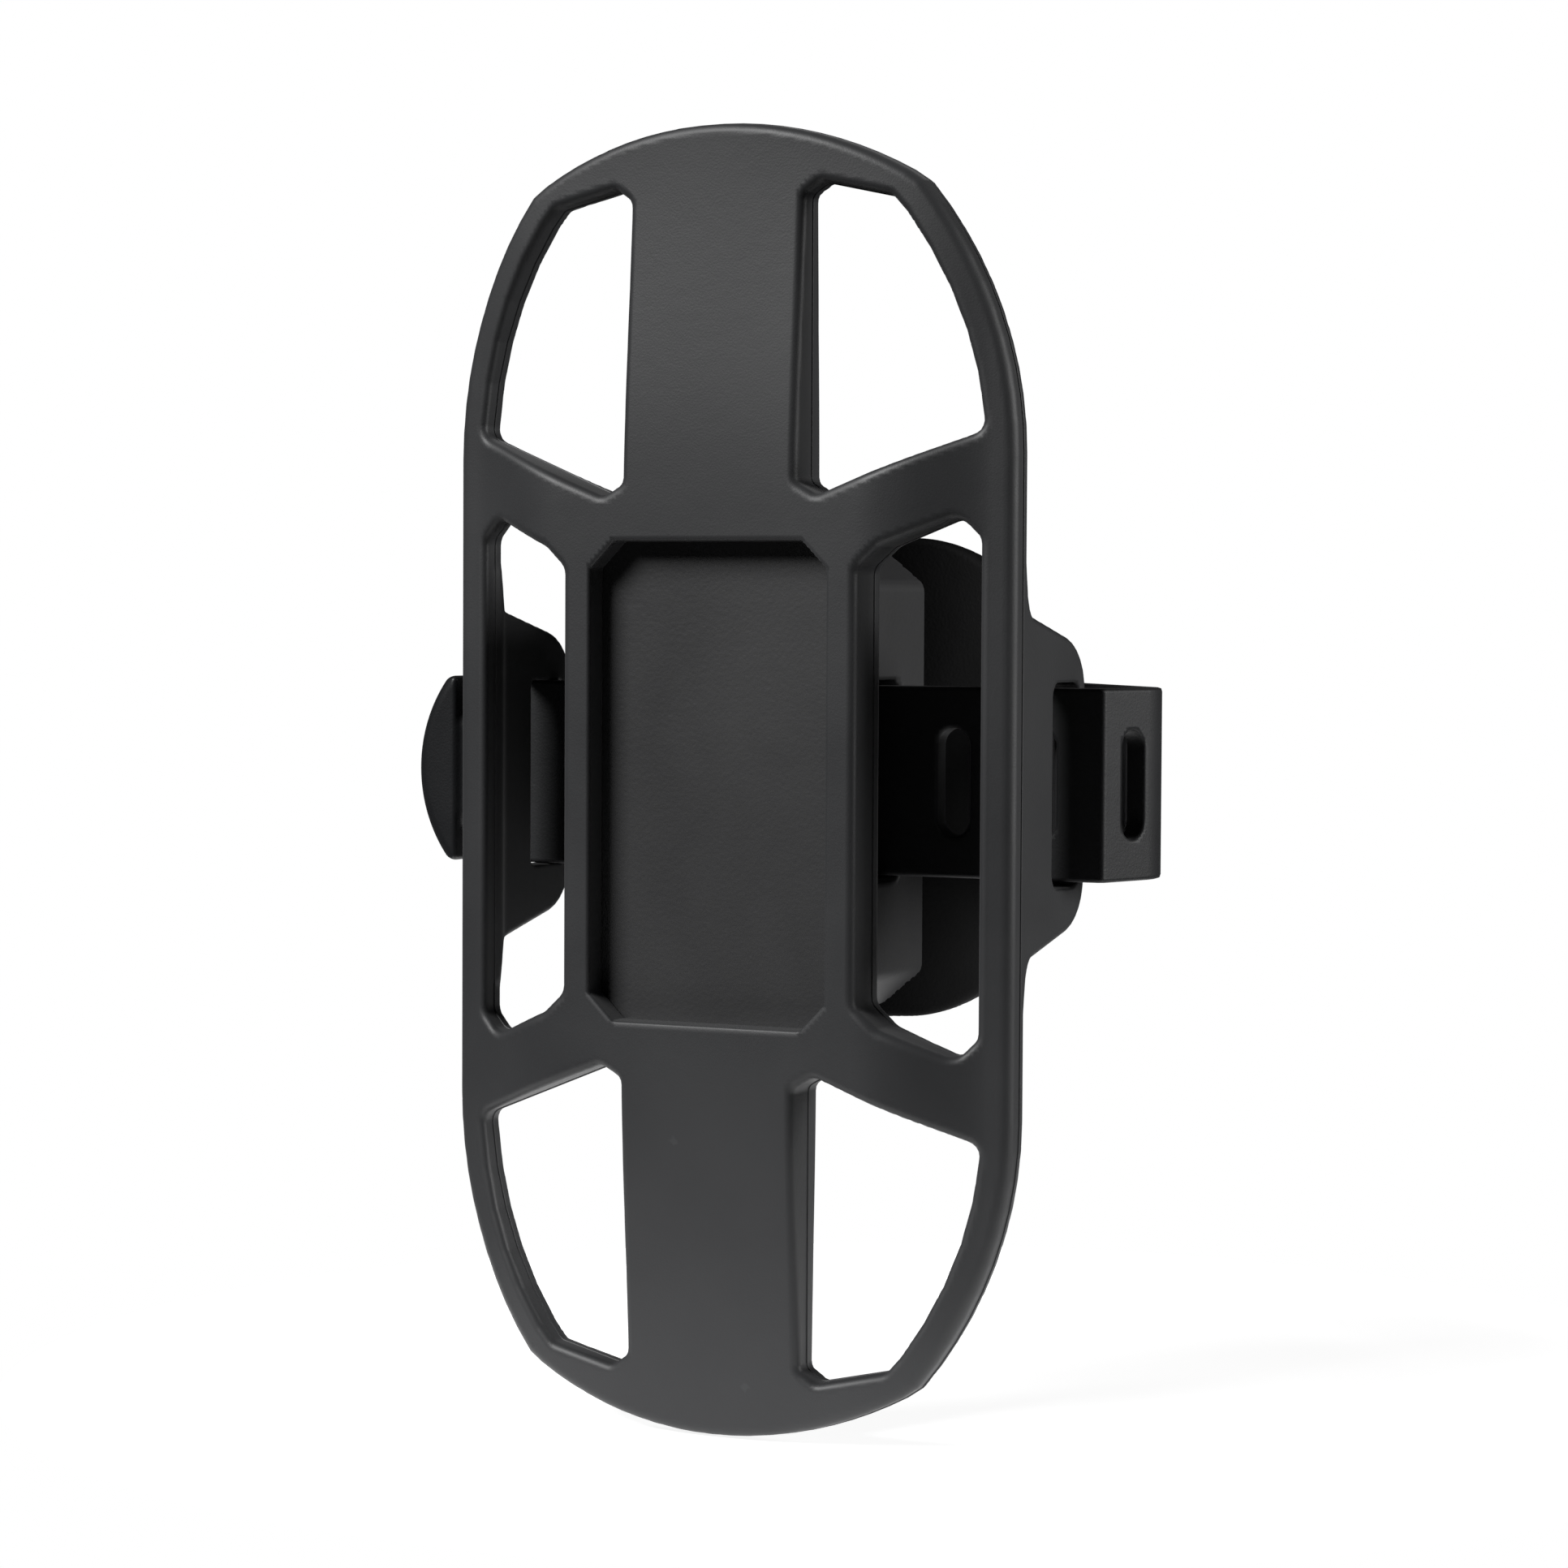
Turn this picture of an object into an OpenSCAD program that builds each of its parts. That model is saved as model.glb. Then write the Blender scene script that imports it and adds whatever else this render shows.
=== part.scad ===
// Strap-on phone mount for a bicycle stem.
// An elastic web stretches over the corners of a phone. A block on its back carries a
// saddle pad for the stem, and one strap runs through the web's two ears and the block,
// round the back of the stem and on to its own T-shaped toggle.
// Frame: origin on the stem's axis at mid height, +X across, +Y towards the back of the
// stem, +Z along the stem and the phone's long side.

/* [Stem] */
// Radius of the stem that the saddle fits
stem_r = 15.9; // [14:0.1:17.5]
// Distance from the stem's axis to the front of the web's column
stem_depth = 38; // [38:0.5:41]

/* [Web] */
// Half of the web's height
web_half_h = 62.2; // [60:0.2:66]
// Half of the web's width
web_half_w = 29.8; // [29:0.1:31]
// Thickness of the web
web_t = 3.4; // [2.6:0.1:4]
// Radius of the web's sweep towards the stem
web_sweep_r = 151; // [120:1:220]
// Width of the bars round the outside
bar_w = 3; // [2.4:0.1:3.6]
// Half of the middle column's width
column_half_w = 9.25; // [8:0.25:10]
// Height of the centre frame above the column
frame_proud = 1.5; // [0.5:0.1:2]
// Thickness of the ears
ear_t = 2.8; // [2.4:0.1:3]
// Width of the rim round the centre recess
rim_w = 3; // [2.4:0.1:3.4]

/* [Centre recess] */
// Half of the recess's width
recess_half_w = 12.6; // [11:0.1:13]
// Half of the recess's height
recess_half_h = 22.9; // [21:0.1:24]
// Chamfer at the recess's corners
recess_chamfer = 2.6; // [1:0.1:4]
// Depth from the rim to the floor
recess_depth = 2.8; // [2:0.1:3.2]

/* [Block and pad] */
// Half of the block's width
block_half_w = 11; // [10:0.1:12]
// Half of the block's height
block_half_h = 22.4; // [20:0.1:22.6]
// Chamfer at the block's corners
block_chamfer = 3.4; // [2:0.1:5]
// Thickness of the flange that the web grips
flange_t = 1.4; // [1:0.1:1.6]
// Thickness of the saddle pad
pad_t = 1.9; // [1.5:0.1:2.2]
// Distance from the stem's axis to the pad's lips
lip_depth = 6; // [5:0.5:7.5]
// Half of the pad's height
pad_half_h = 23.6; // [22:0.1:24]

/* [Strap] */
// Width of the strap
strap_w = 18.4; // [16:0.2:18.6]
// Thickness of the strap
strap_t = 2.3; // [1.8:0.1:2.4]
// Distance between two holes along the strap
hole_pitch = 9; // [8.6:0.1:9.2]
// Length of a strap hole, across the strap
hole_l = 10.4; // [8:0.1:12]
// Width of a strap hole, along the strap
hole_w = 3.4; // [3:0.1:3.6]

/* [Toggle] */
// Length of the toggle's head
head_l = 19; // [16:0.5:20]
// Width of the toggle's head
head_w = 5.4; // [5:0.1:5.5]
// Thickness of the toggle's head at its middle
head_t = 4.8; // [4.2:0.1:5]
// Radius of the head's crown
crown_r = 15; // [14:0.5:30]
// Length of the toggle's neck section
neck_l = 12; // [10:0.5:13]
// Width of the toggle's neck section
neck_w = 4; // [3.4:0.1:4.2]
// Height of the toggle's neck
neck_h = 6.4; // [5:0.1:7]

/* [Hidden] */

$fn = 64;
arc_steps = 8;
// Sides of the large round faces
large_fn = 128;

// Levels, measured from the front of the web's column
rim_level = -frame_proud;
floor_level = rim_level + recess_depth;
flange_back = floor_level + flange_t;
collar_lip = 1.6;
collar_level = flange_back + collar_lip;
strap_level = 16.9;
slot_front = 12.3;
slot_back = 18.6;
slot_level = (slot_front + slot_back) / 2;

// Half heights of the slots: the strap is a close fit where its toggle stands
slot_half_h = 10.3;
slot_corner_r = 1.4;
toggle_slot_half_h = 9.6;
toggle_slot_corner_r = 0.8;

// Corners of the frame, its flange and the web's windows
flange_gap = 2.2;
outer_chamfer = recess_chamfer + 1;
frame_half_w = recess_half_w + rim_w;
frame_half_h = recess_half_h + rim_w;
pad_corner_r = 7;
// How far the side windows stand clear of the bars' full width
window_inset = 0.3;
// Further than any outline reaches, for cuts that go right through
clear = 1;
pad_floor_r = stem_r + pad_t;
// Level where the block ends, behind the front of the saddle
block_back = stem_depth - 8;
pad_half_w = sqrt(pow(pad_floor_r, 2) - pow(lip_depth, 2));

// Plan of the strap, as corners and the radius at each
run_half_x = 32.6;
run_left_x = 32.4;
run_left_end = 27;
flare_angle = 75;
flare_l = 8.8;
fold_r = 2.4;
bend_r = 5;
wrap_gap = 0.4;
wrap_r = stem_r + wrap_gap + strap_t / 2;
hook_x = 35.05;
hook_bend_level = 30;
hook_end_level = 14.6;
toggle_level = 21.5;
joint_before_bend = 2.8;
hook_slack = 0.9;

function depth(level) = level - stem_depth;
function unit(v) = v / norm(v);
function turned(a) = [cos(a), sin(a)];
function heading(v) = atan2(v[1], v[0]);
// Turn from heading a to heading b, between -180 and 180
function turn(a, b) = (b - a + 540) % 360 - 180;

// Points of the arc that rounds the corner q between p and s with radius r
function corner_arc(p, q, s, r) =
    let (a = heading(q - p), b = heading(s - q), w = turn(a, b),
         start = q - unit(q - p) * r * tan(abs(w) / 2),
         centre = start + r * turned(a + sign(w) * 90))
    [for (i = [0:arc_steps]) centre + r * turned(a - sign(w) * 90 + w * i / arc_steps)];

// A closed outline with every corner rounded
function rounded(pts, radii) =
    let (n = len(pts))
    [for (i = [0:n - 1]) each radii[i] == 0 ? [pts[i]]
        : corner_arc(pts[(i + n - 1) % n], pts[i], pts[(i + 1) % n], radii[i])];

// An open path with its inner corners rounded
function open_path(pts, radii) =
    let (n = len(pts))
    [pts[0],
     for (i = [1:n - 2]) each corner_arc(pts[i - 1], pts[i], pts[i + 1], radii[i - 1]),
     pts[n - 1]];

function path_heading(path, i) =
    let (n = len(path), a = path[max(i - 1, 0)], b = path[min(i + 1, n - 1)])
    heading(b - a);

// Outline of a band of thickness t along a path
function band(path, t) =
    let (n = len(path))
    [for (i = [0:n - 1]) path[i] + t / 2 * turned(path_heading(path, i) + 90),
     for (i = [n - 1:-1:0]) path[i] - t / 2 * turned(path_heading(path, i) + 90)];

// The point at distance s along a path, with its heading
function along(path, s, i = 0) =
    let (l = norm(path[i + 1] - path[i]))
    s <= l || i == len(path) - 2
        ? concat(path[i] + unit(path[i + 1] - path[i]) * s, [heading(path[i + 1] - path[i])])
        : along(path, s - l, i + 1);

function length(path, i = 0) =
    i >= len(path) - 1 ? 0 : norm(path[i + 1] - path[i]) + length(path, i + 1);

// Angle round the stem at which a straight strap from point p touches the wrap circle.
// Side 1 comes on from the right, side -1 from the left
function touch_angle(p, side) = heading(p) + side * acos(wrap_r / norm(p));

// Corners of the strap in plan, from the toggle's end, through the block, to the hook end
left_start = [-run_left_x, depth(run_left_end)];
left_fold = [-run_left_x, depth(strap_level)];
right_fold = [run_half_x, depth(strap_level)];
right_bend = right_fold + flare_l * turned(flare_angle);
hook_bend = [-hook_x, depth(hook_bend_level)];
hook_end = [-hook_x, depth(hook_end_level)];
wrap_from = touch_angle(right_bend, 1);
wrap_to = touch_angle(hook_bend, -1) + 360;
wrap_steps = 14;
wrap = [for (i = [0:wrap_steps])
    wrap_r * turned(wrap_from + (wrap_to - wrap_from) * i / wrap_steps)];

// The two live hinges, where the strap is cut into its links
right_cut = right_bend - joint_before_bend * turned(flare_angle);
peel_before_bend = 2 * joint_before_bend;
left_cut = hook_bend + peel_before_bend * unit(wrap[wrap_steps] - hook_bend);

run_path = open_path([left_start, left_fold, right_fold, right_cut], [fold_r, fold_r]);
loop_path = concat([right_cut], corner_arc(right_cut, right_bend, wrap[0], bend_r),
                   wrap, [left_cut]);
end_path = open_path([left_cut, hook_bend, hook_end], [bend_r]);

// Place of the first hole, across and along the path
first_hole_x = 17.8;
to_first_hole = length(run_path) - length(open_path([[first_hole_x, depth(strap_level)],
                                                     right_fold, right_cut], [fold_r]));

// Corner bars: radius and centre of the outline's side sweep
side_r = 40;
side_x = web_half_w - side_r;
side_z = 31;
side_angle = 39;
top_r = 40;
top_angle = 61;

// One quarter of the web's outline, from the side to the top
web_quarter = [
    for (i = [0:arc_steps]) [side_x, side_z] + side_r * turned(side_angle * i / arc_steps),
    for (i = [0:arc_steps]) [0, web_half_h - top_r]
        + top_r * turned(top_angle + (90 - top_angle) * i / arc_steps)];

module mirrored_quarters() {
    for (x = [0, 1], z = [0, 1]) mirror([x, 0]) mirror([0, z]) children();
}

module web_outline() {
    mirrored_quarters() polygon(concat([[0, 0], [web_half_w, 0]], web_quarter));
}

// Extrudes a front outline between two levels
module slab(from, to) {
    translate([0, depth(to), 0]) rotate([90, 0, 0]) linear_extrude(to - from) children();
}

// Extrudes a side outline, drawn as level and height, between two places across
module cheek(from, to) {
    translate([from, -stem_depth, 0]) rotate([90, 0, 90]) linear_extrude(to - from) children();
}

module chamfered(half_w, half_h, c) {
    polygon([for (q = [[1, 1], [-1, 1], [-1, -1], [1, -1]])
        let (a = [q[0] * half_w, q[1] * (half_h - c)], b = [q[0] * (half_w - c), q[1] * half_h])
        each (q[0] * q[1] > 0 ? [a, b] : [b, a])]);
}

// A stadium bar along Z, through X
module stadium(l, w, h) {
    straight = l - w;
    translate([0, -w / 2, -straight / 2]) cube([h, w, straight]);
    for (z = [-1, 1]) translate([0, 0, z * straight / 2]) rotate([0, 90, 0]) cylinder(h, d = w);
}

// A window between the column, a corner bar and the brace to the ear
module corner_window() {
    in_r = side_r - bar_w;
    from_angle = 11.7;
    bar_steps = 4;
    bar_step = (side_angle - 2 - from_angle) / bar_steps;
    polygon(rounded(concat([[column_half_w, 28.4], [11.4, 27.2], [26.8, 33.2]],
        [for (i = [0:bar_steps]) [side_x, side_z] + in_r * turned(from_angle + bar_step * i)],
        [[17.9, 54.9], [11, 56.4], [column_half_w, 55.2]]),
        [1, 1, 1.4, 0, 0, 0, 0, 0, 1.2, 1, 1]));
}

// A window between the centre frame and an ear's bar
module middle_window() {
    inner = frame_half_w;
    outer = web_half_w - bar_w - window_inset;
    half = [[inner, 20.4], [inner + 2.2, 22.4], [24.6, 25.2], [outer, 23.2]];
    below = [for (p = half) [p[0], -p[1]]];
    above = [for (i = [3:-1:0]) half[i]];
    polygon(rounded(concat(below, above), [for (i = [0:7]) 1.5]));
}

module swept_shell(front, back) {
    translate([0, depth(web_sweep_r), 0]) difference() {
        cylinder(2 * web_half_h + 2, r = web_sweep_r - front, center = true, $fn = large_fn);
        cylinder(2 * web_half_h + 4, r = web_sweep_r - back, center = true, $fn = large_fn);
    }
}

// Side outline of an ear that reaches back from the side bar, as level and height
module ear_outline() {
    half = [[5, 19.8], [6.6, 16.4], [20.4, 13.1]];
    round_half = [0, 3, 5.5];
    below = [for (i = [2:-1:0]) [half[i][0], -half[i][1]]];
    polygon(rounded(concat(half, below), concat(round_half, [for (i = [2:-1:0]) round_half[i]])));
}

module ear(slot_half, slot_r) {
    difference() {
        cheek(web_half_w - ear_t, web_half_w) ear_outline();
        translate([web_half_w - ear_t - clear, depth(slot_level), 0])
            slot(2 * slot_half, slot_back - slot_front, ear_t + 2 * clear, slot_r);
    }
}

// A slot along Z with corners of radius r, through X
module slot(l, w, h, r) {
    translate([0, -w / 2 + r, -l / 2]) cube([h, w - 2 * r, l]);
    translate([0, -w / 2, -l / 2 + r]) cube([h, w, l - 2 * r]);
    for (y = [-1, 1], z = [-1, 1])
        translate([0, y * (w / 2 - r), z * (l / 2 - r)]) rotate([0, 90, 0]) cylinder(h, r = r);
}

module flange_outline() {
    chamfered(recess_half_w + flange_gap, recess_half_h + flange_gap, outer_chamfer);
}

module block_outline() {
    chamfered(block_half_w, block_half_h, block_chamfer);
}

// One elastic moulding: column, bars, centre frame and the two ears
module web_harness() {
    sweep_room = 12;
    color([0.13, 0.13, 0.14]) difference() {
        union() {
            intersection() {
                swept_shell(0, web_t);
                slab(-clear, sweep_room) web_outline();
            }
            slab(rim_level, collar_level) chamfered(frame_half_w, frame_half_h, outer_chamfer);
            ear(slot_half_h, slot_corner_r);
            mirror([1, 0, 0]) ear(toggle_slot_half_h, toggle_slot_corner_r);
        }
        slab(rim_level - clear, sweep_room) mirrored_quarters() corner_window();
        slab(rim_level - clear, sweep_room) for (s = [0, 1]) mirror([s, 0]) middle_window();
        slab(rim_level - clear, floor_level + flange_t / 2)
            chamfered(recess_half_w, recess_half_h, recess_chamfer);
        slab(floor_level, flange_back) flange_outline();
        slab(floor_level, collar_level + clear) block_outline();
    }
}

// The flange that the web grips, and the block that carries the pad and guides the strap
module base_block() {
    through = 2 * (block_half_w + clear);
    color([0.16, 0.16, 0.17]) difference() {
        union() {
            slab(floor_level, flange_back) flange_outline();
            slab(floor_level, block_back) block_outline();
        }
        cylinder(4 * block_half_h, r = pad_floor_r, center = true, $fn = large_fn);
        translate([-through / 2, depth(slot_level), 0])
            slot(2 * slot_half_h, slot_back - slot_front, through, slot_corner_r);
    }
}

module saddle_pad() {
    corners = [for (q = [[1, -1], [1, 1], [-1, 1], [-1, -1]])
        [q[0] * pad_half_w, q[1] * pad_half_h]];
    color([0.07, 0.07, 0.07]) difference() {
        intersection() {
            cylinder(2 * pad_half_h, r = pad_floor_r, center = true, $fn = large_fn);
            slab(0, stem_depth - lip_depth)
                polygon(rounded(corners, [for (i = [0:3]) pad_corner_r]));
        }
        cylinder(4 * pad_half_h, r = stem_r, center = true, $fn = large_fn);
    }
}

module strap_band(path) {
    linear_extrude(strap_w, center = true) polygon(band(path, strap_t));
}

// Cuts a hole of length l and width w through the strap at distance s along a path
module strap_hole(path, s, l, w) {
    p = along(path, s);
    translate([p[0], p[1], 0]) rotate([0, 0, p[2] + 90])
        translate([-strap_t, 0, 0]) stadium(l, w, 2 * strap_t);
}

module strap_run() {
    color([0.15, 0.15, 0.16]) difference() {
        strap_band(run_path);
        for (i = [0:2])
            strap_hole(run_path, to_first_hole + i * hole_pitch, hole_l, hole_w);
    }
}

// The toggle's head has a flat underside and a crowned outside
module toggle() {
    foot = -run_left_x - strap_t / 2;
    color([0.15, 0.15, 0.16]) translate([foot, depth(toggle_level), 0]) {
        translate([-neck_h, 0, 0]) stadium(neck_l, neck_w, neck_h);
        intersection() {
            translate([-neck_h - head_t, -head_w / 2, -head_l / 2])
                cube([head_t, head_w, head_l]);
            translate([-neck_h - head_t + crown_r, 0, 0]) rotate([90, 0, 0])
                cylinder(2 * head_w, r = crown_r, center = true, $fn = large_fn);
        }
    }
}

module strap_loop() {
    total = length(loop_path);
    lead = to_first_hole + 3 * hole_pitch - length(run_path);
    end_margin = 3;
    count = floor((total - lead - end_margin) / hole_pitch);
    color([0.15, 0.15, 0.16]) difference() {
        strap_band(loop_path);
        for (i = [0:count]) strap_hole(loop_path, lead + i * hole_pitch, hole_l, hole_w);
    }
}

// The hook end has one hole, stretched open round the toggle's neck
module strap_hook_end() {
    to_toggle = length(end_path) - (toggle_level - hook_end_level);
    color([0.15, 0.15, 0.16]) difference() {
        strap_band(end_path);
        strap_hole(end_path, to_toggle, neck_l + hook_slack, neck_w + hook_slack);
    }
}

web_harness();
base_block();
saddle_pad();
strap_run();
toggle();
strap_loop();
strap_hook_end();
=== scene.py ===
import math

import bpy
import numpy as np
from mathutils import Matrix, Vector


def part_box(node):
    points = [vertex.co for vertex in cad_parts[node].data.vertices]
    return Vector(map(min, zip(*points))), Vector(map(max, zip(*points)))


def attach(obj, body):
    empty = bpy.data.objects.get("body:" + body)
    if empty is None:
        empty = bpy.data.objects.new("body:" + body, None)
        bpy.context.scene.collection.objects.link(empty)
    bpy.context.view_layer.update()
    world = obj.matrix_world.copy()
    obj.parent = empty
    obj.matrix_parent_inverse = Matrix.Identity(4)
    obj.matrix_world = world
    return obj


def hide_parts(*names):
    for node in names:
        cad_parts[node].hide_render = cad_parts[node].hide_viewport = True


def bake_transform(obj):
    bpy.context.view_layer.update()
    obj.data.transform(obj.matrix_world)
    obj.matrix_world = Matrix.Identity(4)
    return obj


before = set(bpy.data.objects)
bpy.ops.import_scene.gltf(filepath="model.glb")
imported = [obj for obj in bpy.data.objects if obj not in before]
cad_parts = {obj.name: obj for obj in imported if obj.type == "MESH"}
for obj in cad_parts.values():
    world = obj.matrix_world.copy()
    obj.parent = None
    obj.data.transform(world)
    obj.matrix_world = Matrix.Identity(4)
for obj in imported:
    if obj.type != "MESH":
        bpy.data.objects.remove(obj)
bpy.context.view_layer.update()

# Looks of a strap-on phone mount for a bicycle stem.
# Shapes are worked out in millimetres in the mount's own frame: origin on the stem's axis,
# +X across, +Y towards the back of the stem, +Z along it. A level is a distance behind the
# front of the web's column. Meshes are made in metres.

MM = 0.001


def box_of(node):
    """Lowest and highest corner of a CAD node, in millimetres."""
    low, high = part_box(node)
    return np.array(low) / MM, np.array(high) / MM


WEB_LOW, WEB_HIGH = box_of("web_harness")
PAD_LOW, PAD_HIGH = box_of("saddle_pad")
RUN_LOW, RUN_HIGH = box_of("strap_run")
HOOK_LOW = box_of("strap_hook_end")[0]
TOGGLE_LOW, TOGGLE_HIGH = box_of("toggle")
FLANGE_LOW, FLANGE_HIGH = box_of("base_block")

# Stem
STEM_R = 15.9
STEM_DEPTH = 38.0

# Web. A half is a half width across and a half height
WEB_HALF_W = WEB_HIGH[0]
WEB_HALF_H = WEB_HIGH[2]
WEB_T = 3.4
SWEEP_R = 151.0
BAR_W = 3.0
COLUMN_HALF_W = 9.25
RIM_LEVEL = WEB_LOW[1] + STEM_DEPTH
COLLAR_LEVEL = 4.3
FRAME_HALF = (15.6, 25.9)
FRAME_CHAMFER = 3.6
# How far the raised centre frame runs out into the sheet, across and up
FRAME_SHOULDER = (12.0, 36.0)
SIDE_R = 40.0
SIDE_Z = 31.0
SIDE_ANGLE = 39.0
BAR_FROM_ANGLE = 11.7
SIDE_X = WEB_HALF_W - SIDE_R
TOP_R = 40.0
TOP_ANGLE = 61.0
MIDDLE_WINDOW_OUT = 26.5
WEB_FRONT_EDGE_R = 0.85
WEB_BACK_EDGE_R = 0.6
WEB_OUTER_EDGE_R = 0.95
# The moulding's parting line: how far behind the front it runs, and how far it stands out
PARTING_DEPTH = 1.9
PARTING_R = 0.12
EAR_T = 2.8
EAR_ROOT_R = 1.6
EAR_HALF = [(5.0, 19.8), (6.6, 16.4), (WEB_HIGH[1] + STEM_DEPTH, 13.1)]
# Front and back level of the strap's slots. The slots fit the strap a little closer than the
# CAD's do, so that nothing shows through beside it, and closest where the toggle stands
SLOT = (12.3, 18.6)
SLOT_LEVEL = (SLOT[0] + SLOT[1]) / 2
SLOT_HALF_DEPTH = (SLOT[1] - SLOT[0]) / 2
SLOT_HALF_H = 9.75
SLOT_CORNER = 1.4
TOGGLE_SLOT_HALF_H = 9.27
TOGGLE_SLOT_CORNER = 0.8

# Edge radius of slots, holes and the recess
CUT_EDGE_R = 0.3

# Recess, block and pad
RECESS_HALF = (12.6, 22.9)
RECESS_CHAMFER = 2.6
FLOOR_LEVEL = FLANGE_LOW[1] + STEM_DEPTH
FLANGE_T = 1.4
FLANGE_HALF = (FLANGE_HIGH[0], FLANGE_HIGH[2])
NECK_HALF = (11.0, 22.4)
NECK_CHAMFER = 3.4
NECK_BACK = -8.0
PAD_R = STEM_R + 1.9
PAD_HALF_W = PAD_HIGH[0]
PAD_HALF_H = PAD_HIGH[2]
LIP_Y = PAD_HIGH[1]
PAD_CORNER_R = 7.0
PAD_EDGE_R = 0.55
# Shallow grooves across the pad's gripping face, counted each way from the middle
GROOVE_PITCH = 3.9
GROOVES_EACH_WAY = 5
GROOVE_R = 0.55
GROOVE_HALF_L = 12.5
GROOVE_DEPTH = 0.45

# Strap, in plan
STRAP_HALF_W = RUN_HIGH[2]
STRAP_T = 2.3
STRAP_END_R = 2.2
STRAP_EDGE_R = 0.32
RUN_LEFT_X = RUN_LOW[0] + STRAP_T / 2
RUN_RIGHT_X = 32.6
RUN_Y = RUN_LOW[1] + STRAP_T / 2
FLARE = 75.0
FLARE_L = 8.8
FOLD_R = 2.4
BEND_R = 5.0
WRAP_GAP = 0.4
WRAP_R = STEM_R + WRAP_GAP + STRAP_T / 2
HOOK_X = HOOK_LOW[0] + STRAP_T / 2
HOOK_BEND_Y = -8.0
HOOK_END_Y = HOOK_LOW[1]
JOINT_BEFORE_BEND = 2.8
HOLE_PITCH = 9.0
HOLE_HALF_L = 5.2
HOLE_R = 1.7
FIRST_HOLE_X = 17.8

# Toggle
TOGGLE_Y = (TOGGLE_LOW[1] + TOGGLE_HIGH[1]) / 2
HEAD_HALF_L = TOGGLE_HIGH[2]
HEAD_HALF_W = (TOGGLE_HIGH[1] - TOGGLE_LOW[1]) / 2
HEAD_TOP = RUN_LOW[0] - TOGGLE_LOW[0]
HEAD_UNDER = 6.4
CROWN_R = 15.0
NECK_L = 12.0
NECK_W = 4.0
HOOK_SLACK = 0.9


# Signed distances: negative inside a shape, in millimetres


def carve(a, b, r):
    """What is in both a and b, with the edge between them rounded to radius r."""
    corner = np.hypot(np.maximum(a + r, 0), np.maximum(b + r, 0))
    return np.minimum(np.maximum(a, b), -r) + corner


def weld(a, b, r):
    """What is in a or b, with a fillet of radius r between them."""
    return -carve(-a, -b, r)


def smooth(t):
    t = np.clip(t, 0, 1)
    return t * t * (3 - 2 * t)


def rounded_box(a, b, half_a, half_b, r):
    """A rectangle with round corners, centred on a = b = 0."""
    return carve(np.abs(a) - half_a, np.abs(b) - half_b, r)


def octagon(a, b, half, chamfer, r=0.0):
    """A rectangle with chamfered corners, whose own corners are rounded to radius r."""
    a, b = np.abs(a), np.abs(b)
    cut = (a + b - half[0] - half[1] + chamfer) / math.sqrt(2)
    return carve(carve(a - half[0], b - half[1], r), cut, r)


def stadium(a, b, half_l, r):
    """A bar with round ends along b."""
    return np.hypot(a, np.maximum(np.abs(b) - half_l + r, 0)) - r


def outline(a, b, points):
    """A closed outline of straight steps."""
    a, b = np.broadcast_arrays(a, b)
    nearest = np.full(a.shape, np.inf)
    inside = np.zeros(a.shape, bool)
    for (pa, pb), (qa, qb) in zip(points, points[1:] + points[:1]):
        da, db = qa - pa, qb - pb
        along = np.clip(((a - pa) * da + (b - pb) * db) / (da * da + db * db), 0, 1)
        nearest = np.minimum(nearest, (a - pa - along * da) ** 2 + (b - pb - along * db) ** 2)
        if db != 0:
            inside ^= ((pb <= b) != (qb <= b)) & (a < da * (b - pb) / db + pa)
    return np.where(inside, -1, 1) * np.sqrt(nearest)


def arc(centre, r, start, end, steps=10):
    angles = np.radians(np.linspace(start, end, steps + 1))
    return [(centre[0] + r * math.cos(t), centre[1] + r * math.sin(t)) for t in angles]


def rounded(points, radii, steps=6):
    """A closed outline with each corner rounded to its own radius."""
    made = []
    for i, (corner, r) in enumerate(zip(points, radii)):
        before = Vector(points[i - 1]) - Vector(corner)
        after = Vector(points[(i + 1) % len(points)]) - Vector(corner)
        if r == 0:
            made.append(tuple(corner))
            continue
        half_angle = before.angle(after) / 2
        bisector = (before.normalized() + after.normalized()).normalized()
        centre = Vector(corner) + bisector * r / math.sin(half_angle)
        reach = r / math.tan(half_angle)
        first = Vector(corner) + before.normalized() * reach - centre
        last = Vector(corner) + after.normalized() * reach - centre
        for k in range(steps + 1):
            spoke = first.slerp(last, k / steps)
            made.append(tuple(centre + spoke.normalized() * r))
    return made


# Meshes


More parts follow.
